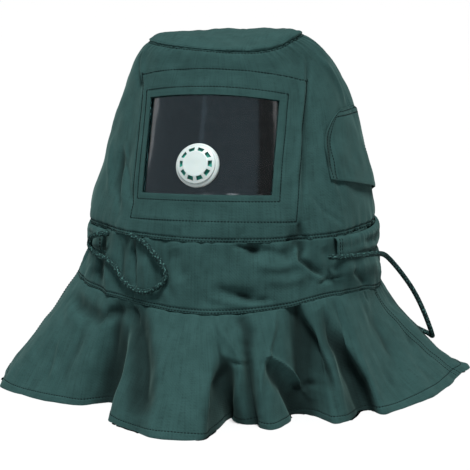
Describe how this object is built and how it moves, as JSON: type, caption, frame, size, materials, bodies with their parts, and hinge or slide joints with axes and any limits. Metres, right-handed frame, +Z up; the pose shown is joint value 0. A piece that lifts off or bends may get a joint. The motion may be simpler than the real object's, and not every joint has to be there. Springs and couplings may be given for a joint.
{
  "type": "sandblasting_hood",
  "caption": "Dark green canvas sandblasting hood with a flared cape, a curved clear window, a round white exhalation valve and two drawcords",
  "frame": {"origin": "below the middle of the bounding box, on the surface that the hem rests on", "axes": "+Z up, the face and its window look along -Y, the wearer's left side is at +X"},
  "size_m": [0.5298, 0.496, 0.4006],
  "materials": {
    "canvas": "matte heavy cotton canvas, dark green",
    "braid": "matte braided cord, dark green with lighter flecks",
    "clear_lens": "clear glossy plastic sheet",
    "white_plastic": "white moulded plastic, satin",
    "teal_rubber": "soft teal rubber, matte"
  },
  "bodies": {
    "root": {"front_panel": "canvas", "back_panel": "canvas", "crown": "canvas", "neck_band": "canvas", "cape_front": "canvas", "cape_back": "canvas", "vent_flap": "canvas", "window_facing": "canvas", "cord_tunnel_right": "canvas", "cord_tunnel_left": "canvas", "cord_left": "braid", "cord_right": "braid", "lens": "clear_lens", "valve_seat": "white_plastic", "valve_clamp_ring": "white_plastic", "valve_cap": "white_plastic", "valve_diaphragm": "teal_rubber"}
  },
  "joints": []
}
